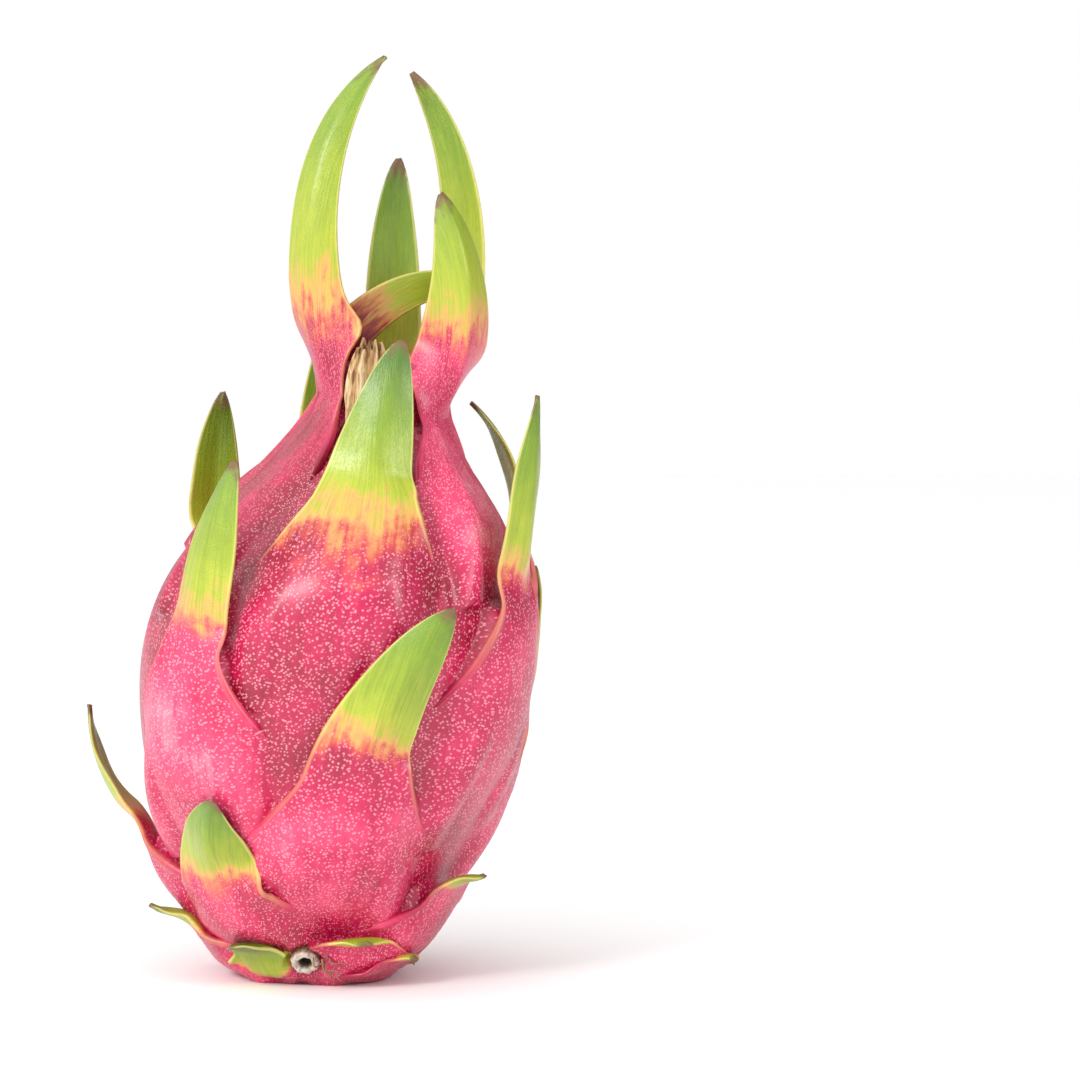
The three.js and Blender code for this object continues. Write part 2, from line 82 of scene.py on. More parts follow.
# Each scale, from the crown down. Azimuth is from the front, and rise, lean and twist are
# from the body's outward direction, all in degrees. Rim is the height of the tongue's root.
# Length and half are the tongue's, stalk is the share of its width at the root, and collar
# the lobe just above it. Swell is the swelling's half width, length and height, and crest
# the share of its length where it is highest. Tint is how pale the skin is, and turn how far
# up the scale, as a share, its pink turns to green. Lengths are in millimetres.
Row = namedtuple(
    "Row", "name azimuth rim length half rise ease lean full stalk collar swell crest twist fold tint turn"
)
ROWS = (
    Row("crown_left", -58, 127, 80, 6.9, (79, 141), 1.8, (-4, 6), 1.7, 0.62, 0.5, (12, 56, 3), 0.7, 34, 0.3, -0.55, 0.3),
    Row("crown_back", 170, 128, 52, 6.6, (92, 90), 1, (2, -3), 2.4, 0.8, 0, (12, 46, 3), 0.6, 0, 0.2, 0, 0.13),
    Row("crown_right", 122, 125, 78, 6, (70, 137), 1.6, (4, -4), 2, 0.8, 0, (12, 44, 3), 0.6, 40, 0.3, -0.2, 0.3),
    Row("crown_front", 62, 120, 52, 8.8, (66, 121), 1.3, (2, -6), 2, 0.62, 0.12, (14, 46, 4), 0.55, -36, 0.7, 0.5, 0.46),
    # crown_curl's tint of -3 paints shadow: it turns the shaded base of this arching scale dark red.
    Row("crown_curl", -100, 130, 45, 5, (104, 188), 1, (-8, -12), 2.6, 0.9, 0, (10, 44, 3), 0.6, -68, 0.2, -3, 0.5),
    Row("neck_front", 5, 104, 35, 9.6, (112, 98), 1, (12, 16), 1.25, 1, 0, (22, 46, 5.5), 0.4, 0, 0.25, -0.2, -0.04),
    Row("neck_right", 108, 90, 38, 5.2, (84, 140), 1.2, (0, 0), 2, 1, 0, (19, 46, 5), 0.4, 0, 0.3, 0.3, 0.18),
    Row("neck_left", -132, 89, 38, 6.8, (88, 108), 1, (0, 4), 1.8, 1, 0, (20, 48, 5), 0.4, -26, 0.4, 0, 0.03),
    Row("neck_back", -168, 101, 36, 8.6, (104, 84), 1, (6, 0), 1.5, 1, 0, (21, 46, 5.5), 0.4, 0, 0.3, 0, 0.08),
    Row("shoulder_front", -39, 74, 42, 7.6, (88, 106), 1, (10, 17), 2, 1, 0, (20, 48, 6.5), 0.4, 0, 0.4, 0.45, 0.26),
    Row("shoulder_right", 63, 83, 44, 6.8, (80, 90), 1, (0, 2), 2, 1, 0, (21, 54, 6), 0.4, 0, 0.4, -0.1, 0.2),
    Row("shoulder_back", 152, 80, 43, 8, (84, 102), 1, (4, 6), 1.9, 1, 0, (21, 50, 6), 0.4, 0, 0.4, 0.2, 0.18),
    Row("waist_front", 12, 50, 41, 10, (72, 84), 1, (18, 38), 1.4, 1, 0, (21, 46, 6.5), 0.35, 0, 0.4, 0.1, 0.2),
    Row("waist_right", 112, 55, 36, 8.5, (66, 96), 1, (2, 8), 1.6, 1, 0, (20, 44, 6), 0.35, 0, 0.3, 0, 0.18),
    Row("waist_back", -148, 62, 40, 8.6, (70, 98), 1, (4, 8), 1.7, 1, 0, (21, 46, 6), 0.35, 0, 0.3, 0, 0.16),
    Row("waist_left", -92, 33, 32, 6.4, (42, 92), 1, (2, 2), 1.5, 1, 0, (17, 32, 5.5), 0.35, 0, 0.3, 0, 0.2),
    Row("hip_back", 172, 40, 30, 8.4, (56, 90), 1, (0, 10), 1.4, 1, 0, (20, 36, 5.5), 0.35, 0, 0.3, 0, 0.18),
    Row("hip_front", -36, 27, 22, 10.4, (46, 80), 1, (12, 30), 1.4, 1, 0, (17, 28, 5.5), 0.4, 0, 0.4, 0.05, 0.12),
    Row("hip_right", 60, 22, 10, 7, (26, 30), 1, (4, 4), 1.3, 1, 0, (17, 28, 5.5), 0.4, 0, 0.2, 0, 0.38),
    Row("hip_back_right", 124, 23, 20, 8, (44, 74), 1, (0, 8), 1.4, 1, 0, (17, 28, 5), 0.4, 0, 0.3, 0, 0.18),
    Row("hip_back_left", -128, 26, 22, 8.4, (46, 76), 1, (4, 6), 1.4, 1, 0, (17, 30, 5), 0.4, 0, 0.3, 0, 0.18),
    Row("foot_left", -74, 14, 11, 6, (20, 36), 1, (0, 0), 1.2, 1, 0, (14, 20, 4.5), 0.4, 0, 0.2, 0, 0.13),
    Row("foot_back", 176, 13, 12, 6, (26, 46), 1, (0, 6), 1.3, 1, 0, (14, 18, 4.5), 0.4, 0, 0.2, 0, 0.18),
    Row("foot_front", 22, 11, 5, 9, (12, 0), 1, (0, 0), 1.1, 1, 0, (14, 14, 4.5), 0.35, 0, 0.2, -0.2, 0.5),
    Row("foot_front_left", -30, 9, 8, 6, (6, 30), 1, (-14, -24), 1.3, 1, 0, (10, 11, 3.5), 0.4, 0, 0.2, 0, -0.4),
    Row("foot_front_right", 46, 7, 6, 6, (4, 20), 1, (6, 10), 1.3, 1, 0, (10, 11, 3.5), 0.4, 0, 0.2, -0.7, 0.8),
)

FLARE_SHARE = 0.4
FLARE_POWER = 0.7
RIM_LEVEL = 0.7
VALLEY_POWER = 5
# Painted shade: the skin is darkened where the swellings stand lower than this height.
CREASE_SHADE_TOP = 3.2
FLOWER_FOLDS = 7
TUCK_BELOW = 4
TUCK_ABOVE = 2
PROUD = 1.2
EDGE_LIFT = 0.7
SINK = 1.8
SEAM_DEPTH = 0.1
SEAM = (0.06, 0.45, 0.72)
RELEASE = (-2, 9)
NARROWING = 0.3
SCALE_THICKNESS = 2.7
TIP_THICKNESS = 1.0
EDGE_SHARE = 0.34
ROOT_DEPTH = 4
STALK_END = 0.3
COLLAR_PLACE = 0.17
COLLAR_SPREAD = 0.07
SKIN_RADIUS = 36
FURROW = 0.09
RIPPLE = 0.3
BARE_SHARE = 0.6
SLOW_TURN = 0.5
TONGUE_TINT = 0.35
DARKEST_SKIN = -0.45


class RindSizes(PropertyGroup):
    """Driving sizes of the rind."""

    width: FloatProperty(name="Body width", description="Bare body at its widest", default=0.086, unit="LENGTH")
    neck: FloatProperty(name="Neck height", description="Height of the neck's rim", default=0.134, unit="LENGTH")
    lean: FloatProperty(name="Lean", description="Sideways offset of the neck", default=0.016, unit="LENGTH")
    lean_power: FloatProperty(name="Lean power", description="How late the lean sets in", default=2.84)
    foot_shift: FloatProperty(name="Foot shift", description="Offset of the foot", default=-0.001, unit="LENGTH")
    foot_fade: FloatProperty(name="Foot fade", description="Height of that offset", default=0.015, unit="LENGTH")
    columns: IntProperty(name="Body columns", description="Grid columns round the body", default=280)
    rows: IntProperty(name="Body rows", description="Grid rows up the body", default=230)
    scale_rows: IntProperty(name="Scale rows", description="Grid rows along a scale", default=72)
    scale_columns: IntProperty(name="Scale columns", description="Grid columns across a scale", default=31)


def length(name, default, description, **more):
    return FloatProperty(name=name, description=description, default=default, unit="LENGTH", **more)


def place(name, default, description):
    return FloatVectorProperty(name=name, description=description, default=default, unit="LENGTH")


def colour(name, default, description):
    return FloatVectorProperty(
        name=name, description=description, default=default, subtype="COLOR", min=0, max=1
    )


class DrySizes(PropertyGroup):
    """Driving sizes of the withered flower, the stem scar and its fibres."""

    flower_foot: place("Flower foot", (0.0108, -0.013, 0.116), "Middle of the withered flower's foot")
    flower_top: place("Flower top", (0.0116, -0.0114, 0.14), "Middle of its mouth")
    flower_radius: length("Flower radius", 0.0048, "Radius of the withered flower at its widest")
    scar_radius: length("Scar radius", 0.0031, "Radius of the cut stem")
    scar_height: length("Scar height", 0.0075, "Height of its seat")
    scar_lift: length("Scar lift", 0.002, "How far its seat stands over the bare body")
    scar_azimuth: FloatProperty(
        name="Scar azimuth", description="Direction of the cut stem", default=math.radians(-4), subtype="ANGLE"
    )
    scar_tilt: FloatProperty(
        name="Scar tilt", description="How far it points down", default=math.radians(38), subtype="ANGLE"
    )
    fibre_place: place("Fibre place", (0.0009, -0.0256, 0.0052), "Where the dry fibres start")
    fibre_radius: length("Fibre radius", 0.00022, "Radius of a dry fibre", precision=5)


class Colours(PropertyGroup):
    """Colours of the fruit."""

    # Dark red is partly the skin's own dark tone and partly painted shade: creases and the shaded base of crown_curl
    # reach it.
    dark_red_and_shade: colour("Dark red", (0.2, 0.0, 0.012), "Skin in the darkest places of the neck")
    wine: colour("Wine red", (0.3, 0.001, 0.028), "Skin in the dark places")
    magenta: colour("Magenta", (0.5, 0.002, 0.068), "Main colour of the skin")
    pink: colour("Pink", (0.7, 0.045, 0.14), "Skin in the light places")
    pale_pink: colour("Pale pink", (0.82, 0.28, 0.33), "Skin in the palest places")
    dot: colour("Dots", (0.94, 0.4, 0.48), "Fine dots on the skin")
    dot_strength: FloatProperty(name="Dot strength", description="How clear the dots are", default=0.6)
    orange: colour("Orange", (0.68, 0.11, 0.04), "Skin where the pink ends")
    peach: colour("Peach", (0.68, 0.34, 0.09), "Scale where the green begins")
    lime: colour("Yellow green", (0.38, 0.44, 0.018), "Lower part of a scale")
    green: colour("Green", (0.19, 0.3, 0.009), "Middle of a scale")
    dark_green: colour("Dark green", (0.065, 0.15, 0.004), "Upper part of a scale")
    edge: colour("Edge", (0.75, 0.62, 0.2), "Thin edge of a scale")
    dry: colour("Dry tip", (0.16, 0.085, 0.03), "Dry tip of a scale")
    straw: colour("Straw", (0.68, 0.52, 0.3), "Light parts of the withered flower")
    tan: colour("Tan", (0.42, 0.24, 0.09), "Middle parts of the withered flower")
    brown: colour("Brown", (0.14, 0.06, 0.025), "Dark fibres")
    petal_foot: colour("Petal foot", (0.72, 0.28, 0.26), "Foot of the withered flower")
    bark: colour("Bark", (0.3, 0.18, 0.09), "Side of the cut stem")
    lip: colour("Cut face", (0.62, 0.57, 0.5), "Lip of the cut stem")
    # Painted shade: the near-black colour stands in for the shade inside the cut stem's hollow.
    hollow: colour("Hollow", (0.012, 0.009, 0.007), "Hollow of the cut stem")


class StageSizes(PropertyGroup):
    """Stage, lights and camera."""

    centre: place("Picture centre", (0.0484, 0, 0.0959), "Point in the middle of the picture")
    picture_width: length("Picture width", 0.2376, "Width that the picture spans at the fruit")
    distance: length("Distance", 0.9, "From the camera to the middle of the fruit")
    tilt: FloatProperty(name="Tilt", description="How far it looks down", default=math.radians(3), subtype="ANGLE")
    floor_width: length("Floor width", 6, "Width of the floor")
    floor_colour: colour("Floor", (0.97, 0.97, 0.97), "Colour of the floor")
    sky: FloatProperty(name="Sky light", description="Strength of the sky's bright side", default=1.5)
    sky_shade: FloatProperty(name="Sky shade", description="Strength of the sky's dim side", default=0.28)
    key_power: FloatProperty(name="Key light", description="Power of the key light in watts", default=5.5)
    fill_power: FloatProperty(name="Fill light", description="Power of the fill light in watts", default=2.6)


def mix(a, b, t):
    return a + (b - a) * t


def smooth(low, high, x):
    """Smooth step from 0 at low to 1 at high: 3t^2 - 2t^3 of the clamped share t."""
    t = np.clip((np.asarray(x, float) - low) / (high - low), 0, 1)
    return t * t * (3 - 2 * t)


class Body:
    """The bare body: its outline as a uniform Catmull-Rom curve looked up by arc length,
    swept round an axis that leans."""

    def __init__(self, sizes):
        self.neck = sizes.neck / MM
        self.lean = sizes.lean / MM
        self.lean_power = sizes.lean_power
        self.foot_shift = sizes.foot_shift / MM
        self.foot_fade = sizes.foot_fade / MM
        points = np.array(OUTLINE, float) * (sizes.width / MM / 2, self.neck)
        padded = np.vstack([points[0], points, points[-1]])
        spans = len(points) - 1
        t = np.linspace(0, spans, 400 * spans + 1)
        k = np.minimum(t.astype(int), spans - 1)
        w = (t - k)[:, None]
        p0, p1, p2, p3 = (padded[k + i] for i in range(4))
        v0, v1 = (p2 - p0) / 2, (p3 - p1) / 2
        curve = (2 * p1 - 2 * p2 + v0 + v1) * w**3 + (3 * p2 - 3 * p1 - 2 * v0 - v1) * w**2 + v0 * w + p1
        steps = np.hypot(*np.diff(curve, axis=0).T)
        self.arc = np.concatenate([[0], np.cumsum(steps)])
        self.length = self.arc[-1]
        tangent = np.gradient(curve, self.arc, axis=0)
        tangent /= np.linalg.norm(tangent, axis=1, keepdims=True)
        self.table = (np.maximum(curve[:, 0], 0), curve[:, 1], tangent[:, 1], -tangent[:, 0])

    def at(self, s):
        """Radius, height and outward normal of the outline at arc length s."""
        s = np.clip(s, 0, self.length)
        return [np.interp(s, self.arc, values) for values in self.table]

    def wrap(self, s):
        """Radius that turns an angle into a distance across, kept off zero near the poles."""
        return np.maximum(self.at(s)[0], 6)

    def arc_at_height(self, z):
        """Arc length where the outer side, between the foot and the neck's rim, reaches z."""
        outer = (self.arc > self.length * 0.06) & (self.arc < self.length * 0.93)
        return float(np.interp(z, self.table[1][outer], self.arc[outer]))

    def axis_x(self, z):
        """Sideways place of the axis: a power of the height, plus a foot offset that dies away."""
        z = np.maximum(z, 0)
        share = np.minimum(z / self.neck, 1.05)
        return self.lean * share**self.lean_power + self.foot_shift * np.exp(-z / self.foot_fade)

    def point(self, theta, s, h):
        """The surface at azimuth theta and arc length s, raised by h along the outline's
        normal, with the radius made a little uneven by two sine waves round the body."""
        r0, z0, nr, nz = self.at(s)
        wobble = 1 + 0.012 * np.sin(2 * theta + 1) + 0.01 * np.sin(3 * theta + 0.4)
        r = r0 * wobble + h * nr
        z = z0 + h * nz
        return np.stack([self.axis_x(z) + r * np.sin(theta), -r * np.cos(theta), z], axis=-1)


class Scale:
    """One scale's sizes in millimetres and radians, with the arc length of its rim."""

    def __init__(self, row, body, number):
        self.row = row
        self.number = number
        self.azimuth = math.radians(row.azimuth)
        self.rise = np.radians(row.rise)
        self.lean = np.radians(row.lean)
        self.twist = math.radians(row.twist)
        self.half, self.length = row.half, row.length
        self.swell_half, self.swell_length, self.swell_height = row.swell
        self.arc = body.arc_at_height(row.rim)

    def rim_drop(self, a):
        """How far the free edge lies below the tongue's root at distance a from the midline."""
        root = self.half * self.row.stalk
        across = np.clip((np.abs(a) - root) / (self.swell_half - root), 0, 1)
        return FLARE_SHARE * self.swell_length * across**FLARE_POWER

    def place(self, body, theta, s):
        """Distance a across and b along from the tongue's root, at a place on the body."""
        b = s - self.arc
        turn = theta - self.azimuth
        turn = turn - 2 * np.pi * np.round(turn / (2 * np.pi))
        return turn * body.wrap(s) - b * math.tan(self.lean[0]) * 0.5, b

    def swelling(self, a, b):
        """Height of the swelling: a flat-topped arch across, times a rise to the crest and a
        smooth fall to nothing below it, both measured down from the free edge."""
        across = np.maximum(0, 1 - np.abs(a / self.swell_half) ** 2.6)
        y = np.clip((-b - self.rim_drop(a)) / self.swell_length, 0, 1)
        crest = self.row.crest
        along = mix(RIM_LEVEL, 1, smooth(0, crest, y)) * (1 - smooth(crest, 1, y))
        return self.swell_height * across * along

    def reach(self, a, b):
        return (b <= RELEASE[1]) & (b >= -self.swell_length) & (np.abs(a) < self.swell_half)

    def half_width(self, b):
        """The tongue's width above the rim, narrow at the stalk, with a lobe above it and a
        taper to the tip; below the rim, the flare to the swelling's sides."""
        t = np.clip(b / self.length, 0, 1)
        stalk = mix(self.row.stalk, 1, smooth(0, STALK_END, t))
        lobe = self.row.collar * np.exp(-(((t - COLLAR_PLACE) / COLLAR_SPREAD) ** 2))
        tongue = self.half * (stalk + lobe) * np.maximum(0, 1 - t**self.row.full) ** 0.62
        y = np.clip(-b / (FLARE_SHARE * self.swell_length), 0, 1)
        flare = mix(self.half * (self.row.stalk + lobe), self.swell_half, y ** (1 / FLARE_POWER))
        narrow = 1 - NARROWING * smooth(FLARE_SHARE, SEAM[2], -b / self.swell_length)
        return np.where(b >= 0, tongue, flare * narrow)

    def frames(self, root, b):
        """Places, sideways and outward directions of the tongue's midline at distances b. The
        midline starts at root and runs in a direction that bends by rise and lean, and the
        blade turns about it by twist."""
        out = np.array([math.sin(self.azimuth), -math.cos(self.azimuth), 0])
        side = np.array([math.cos(self.azimuth), math.sin(self.azimuth), 0])
        up = np.array([0, 0, 1.0])

        def direction(t):
            t = np.clip(t, 0, 1)
            rise = mix(self.rise[0], self.rise[1], t**self.row.ease)[:, None]
            lean = mix(self.lean[0], self.lean[1], t)[:, None]
            return np.cos(lean) * (np.cos(rise) * out + np.sin(rise) * up) + np.sin(lean) * side

        steps = 240
        walk = direction((np.arange(steps) + 0.5) / steps) * self.length / steps
        path = root + np.vstack([np.zeros(3), np.cumsum(walk, axis=0)])
        t = b / self.length
        shares = np.linspace(0, 1, steps + 1)
        place = np.stack([np.interp(t, shares, path[:, i]) for i in range(3)], axis=-1)
        d = direction(t)
        place = np.where(b[:, None] < 0, root + d * b[:, None], place)
        across = side - d * (d @ side)[:, None]
        across /= np.linalg.norm(across, axis=1, keepdims=True)
        normal = np.cross(across, d)
        turn = (self.twist * smooth(0, 0.35, t))[:, None]
        return place, across * np.cos(turn) - normal * np.sin(turn), normal * np.cos(turn) + across * np.sin(turn)


def swellings(body, scales, theta, s, free=None):
    """Height of all the swellings, as the fifth-power sum of those that reach a place, with the
    skin's tint and ripeness there, weighed by the squares of the heights. Each swelling is
    tucked in just under its own free edge, except that of the scale given as free."""
    shape = np.broadcast(theta, s).shape
    total, tint = np.zeros(shape), np.zeros(shape)
    share, ripe = np.full(shape, BARE_SHARE), np.full(shape, -BARE_SHARE)
    for scale in scales:
        a, b = scale.place(body, theta, s)
        height = np.where(scale.reach(a, b), scale.swelling(a, b), 0)
        if scale is not free:
            height = height * smooth(-TUCK_ABOVE, TUCK_BELOW, -b - scale.rim_drop(a))
        total += height**VALLEY_POWER
        share += height**2
        tint += height**2 * max(scale.row.tint, DARKEST_SKIN)
        ripe += height**2 * (SLOW_TURN * np.clip(b / scale.swell_length, -1, 0) - scale.row.turn)
    return total ** (1 / VALLEY_POWER), tint / share, ripe / share


def furrows(body, theta, s):
    """Fine ridges that run up the skin: three sine waves round the body, which grow from
    nothing at the shoulder to their full height at the neck."""
    z = body.at(s)[1]
    bend = 0.03 * z
    waves = np.sin(19 * theta + bend) + np.sin(31 * theta - bend + 1) + 0.7 * np.sin(53 * theta + 2)
    return FURROW * waves * smooth(80, 122, z)


def skin_place(theta, s):
    """Place on a cylinder of even radius, on which the skin's pattern is laid out: the pattern
    narrows where the body does."""
    return np.stack([SKIN_RADIUS * np.sin(theta), -SKIN_RADIUS * np.cos(theta), s + 0 * theta], axis=-1)


def scale_skin(body, scales, scale, a, b, theta, s, v):
    """How far a scale's outer face stands over the bare body, with its tint and ripeness. It
    stands over all the swellings, proud at its rim with a lifted edge, level with them at the
    seam and sunk under them below it. Its colour is its own at the rim and that of the skin
    round it at the seam."""
    y = -b / scale.swell_length
    own = 1 - smooth(SEAM[0], SEAM[1], y)
    height, tint, ripe = swellings(body, scales, theta, s, free=scale)
    over = mix(-SEAM_DEPTH, PROUD + EDGE_LIFT * np.abs(v) ** 4, own) - SINK * smooth(SEAM[1], SEAM[2], y)
    grow = np.where(b > 0, b / scale.length, SLOW_TURN * b / scale.swell_length) - scale.row.turn
    skin_tint = max(scale.row.tint, DARKEST_SKIN)
    own_tint = mix(skin_tint, scale.row.tint * TONGUE_TINT, smooth(-8, 4, b))
    return height + over, mix(tint, own_tint, own), mix(ripe, grow, own)


def grid_faces(rows, columns, closed):
    """Quads of a grid of rows by columns, row after row, wrapped round if closed."""
    i, j = np.meshgrid(np.arange(rows - 1), np.arange(columns if closed else columns - 1), indexing="ij")
    k = (j + 1) % columns
    quads = np.stack([i * columns + j, i * columns + k, (i + 1) * columns + k, (i + 1) * columns + j], axis=-1)
    return quads.reshape(-1, 4).tolist()


def cap_fans(first, last, columns, start, end):
    """Triangles that close a wrapped grid: the ring at first to the point start, and the ring
    at last to the point end."""
    ring = np.arange(columns)
    turn = (ring + 1) % columns
    low = np.stack([np.full(columns, start), first + turn, first + ring], axis=-1)
    high = np.stack([np.full(columns, end), last + ring, last + turn], axis=-1)
    return low.tolist() + high.tolist()


def mesh_object(name, points, faces, skin=None, marks=None):
    """A smooth-shaded mesh in metres from points in millimetres. skin is the place that the
    skin's pattern reads and marks are named numbers, both at each point."""
    mesh = bpy.data.meshes.new(name)
    mesh.from_pydata((np.asarray(points) * MM).tolist(), [], faces)
    if skin is not None:
        layer = mesh.attributes.new("skin", "FLOAT_VECTOR", "POINT")
        layer.data.foreach_set("vector", (np.asarray(skin) * MM).astype(np.float32).ravel())
    for key, values in (marks or {}).items():
        layer = mesh.attributes.new(key, "FLOAT", "POINT")
        layer.data.foreach_set("value", np.asarray(values, np.float32).ravel())
    mesh.shade_smooth()
    made = bpy.data.objects.new(name, mesh)
    bpy.context.scene.collection.objects.link(made)
    return made


def stub_axis(body, dry):
    """Seat of the cut stem, the direction it points in and a level direction across it."""
    azimuth, tilt = dry.scar_azimuth, dry.scar_tilt
    out = np.array([math.cos(tilt) * math.sin(azimuth), -math.cos(tilt) * math.cos(azimuth), -math.sin(tilt)])
    side = np.array([math.cos(azimuth), math.sin(azimuth), 0])
    seat = body.point(azimuth, body.arc_at_height(dry.scar_height / MM), dry.scar_lift / MM)
    return seat, out, side


def make_room(points, body, dry):
    """Press the points round the cut stem back below its lip: the height that a point may
    stand over the seat grows with its distance from the stem's axis."""
    seat, out, _ = stub_axis(body, dry)
    radius = dry.scar_radius / MM
    over = (points - seat) @ out
    away = np.linalg.norm(points - seat - over[..., None] * out, axis=-1)
    limit = mix(-1.2, 6, smooth(radius + 0.3, radius + 3.6, away))
    return points - np.where(over > -6, np.maximum(over - limit, 0), 0)[..., None] * out


def body_object(body, scales, sizes, dry):
    """The rind under its scales: a grid of azimuth and arc length, closed at both poles."""
    columns, rows = sizes.columns, sizes.rows
    s = np.linspace(0, body.length, rows + 1)[1:-1]
    theta, s = np.meshgrid(np.arange(columns) * 2 * np.pi / columns, s)
    height, tint, ripe = swellings(body, scales, theta, s)
    points = body.point(theta, s, height + furrows(body, theta, s)).reshape(-1, 3)
    ends = body.point(np.zeros(2), np.array([0, body.length]), 0)
    points = np.maximum(make_room(np.vstack([points, ends]), body, dry), (-1e3, -1e3, 0))
    count = (rows - 1) * columns
    faces = grid_faces(rows - 1, columns, True)
    faces += cap_fans(0, count - columns, columns, count, count + 1)
    skin = np.vstack([skin_place(theta, s).reshape(-1, 3), [[0, 0, 0], [0, 0, body.length]]])
    none = np.zeros(count + 2)
    marks = {
        "ripe": np.append(ripe, [-1, -1]),
        "grow": none,
        "edge": none,
        "tint": np.append(tint, [0, 0]),
        # Painted shade in the creases between swellings: 1 where they are low, 0 over their tops.
        "crease_shade": np.append(1 - smooth(0, CREASE_SHADE_TOP, height), [0, 0]),
    }
    return mesh_object("body", points, faces, skin, marks)


def scale_object(body, scales, scale, sizes, dry):
    """One scale as a closed blade. Its middle sheet follows the swelling below the rim and the
    bending tongue above it, with a keel and a rippled edge; the outer and inner faces lie on
    either side, with a round edge."""
    rows, columns = sizes.scale_rows, sizes.scale_columns
    b = mix(SEAM[2] * -scale.swell_length, scale.length, np.linspace(0, 1, rows))
    b[-1] -= 0.2
    half = np.maximum(scale.half_width(b), 0.5)
    v = np.sin(np.linspace(-np.pi / 2, np.pi / 2, columns))
    a = half[:, None] * v
    bb = b[:, None] + 0 * a
    s = np.minimum(scale.arc + bb, body.length * 0.88)
    theta = scale.azimuth + (a + bb * math.tan(scale.lean[0]) * 0.5) / body.wrap(s)
    lift, tint, ripe = scale_skin(body, scales, scale, a, bb, theta, s, v)
    held = body.point(theta, s, lift + furrows(body, theta, s))
    middle = np.zeros(1)
    root_place = (middle + scale.azimuth, middle + scale.arc)
    root = body.point(*root_place, scale_skin(body, scales, scale, middle, middle, *root_place, middle)[0])[0]
    place, across, normal = scale.frames(root, b)
    t = np.clip(b / scale.length, 0, 1)
    radius = body.at(scale.arc)[0] + scale.swell_height
    keel = scale.row.fold * (np.sqrt(a * a + 1) - 1)
    ripple = RIPPLE * np.sin(2 * np.pi * (1.7 * t + 0.37 * scale.number))[:, None] * v * np.abs(v)
    free = place[:, None] + across[:, None] * a[..., None]
    free -= normal[:, None] * (a * a / (2 * radius) + keel + ripple)[..., None]
    sheet = make_room(mix(held, free, smooth(*RELEASE, b)[:, None, None]), body, dry)
    face = np.cross(np.gradient(sheet, axis=1), np.gradient(sheet, axis=0))
    face /= np.linalg.norm(face, axis=2, keepdims=True)
    thickness = mix(SCALE_THICKNESS, TIP_THICKNESS, t) + ROOT_DEPTH * (1 - smooth(-10, 0, b))
    depth = thickness[:, None] * mix(1, EDGE_SHARE, v**2)
    inner = sheet - face * depth[..., None]
    outward = sheet[:, [-1, 0]] - sheet[:, [-2, 1]]
    outward /= np.linalg.norm(outward, axis=2, keepdims=True)
    brink = (sheet[:, [-1, 0]] + inner[:, [-1, 0]]) / 2 + outward * depth[:, [-1, 0], None] * 0.5
    rings = np.concatenate([sheet, brink[:, :1], inner[:, ::-1], brink[:, 1:]], axis=1)
    ring = 2 * columns + 2
    ends = np.stack([rings[0].mean(axis=0), rings[-1].mean(axis=0)])
    points = np.vstack([rings.reshape(-1, 3), ends])
    count = rows * ring
    faces = grid_faces(rows, ring, True) + cap_fans(0, count - ring, ring, count, count + 1)
    order = np.concatenate([np.arange(columns), [columns - 1], np.arange(columns)[::-1], [0]])

    def spread(values):
        values = (values + 0 * a[..., None] if values.ndim == 3 else values + 0 * a)[:, order]
        return np.concatenate([values.reshape(count, -1), values[[0, -1], 0].reshape(2, -1)])

    marks = {
        "ripe": spread(ripe),
        "grow": spread(t[:, None]),
        "edge": spread(np.abs(v) * smooth(-0.45 * scale.swell_length, -0.3 * scale.swell_length, bb)),
        "tint": spread(tint),
        # Painted shade in the creases, on the part of the scale below its rim.
        "crease_shade": spread((1 - smooth(0, CREASE_SHADE_TOP, lift)) * (1 - smooth(0, 4, bb))),
    }
    return mesh_object(scale.row.name, points, faces, spread(skin_place(theta, scale.arc + bb)), marks)


def path_frames(path):
    """Unit tangents of a path and two directions square to them, the first kept as near to
    level as the path allows."""
    along = np.gradient(path, axis=0)
    along /= np.linalg.norm(along, axis=1, keepdims=True)
    level = np.cross(along, [0, 0, 1.0]) + (1e-6, 0, 0)
    level /= np.linalg.norm(level, axis=1, keepdims=True)
    return along, level, np.cross(level, along)


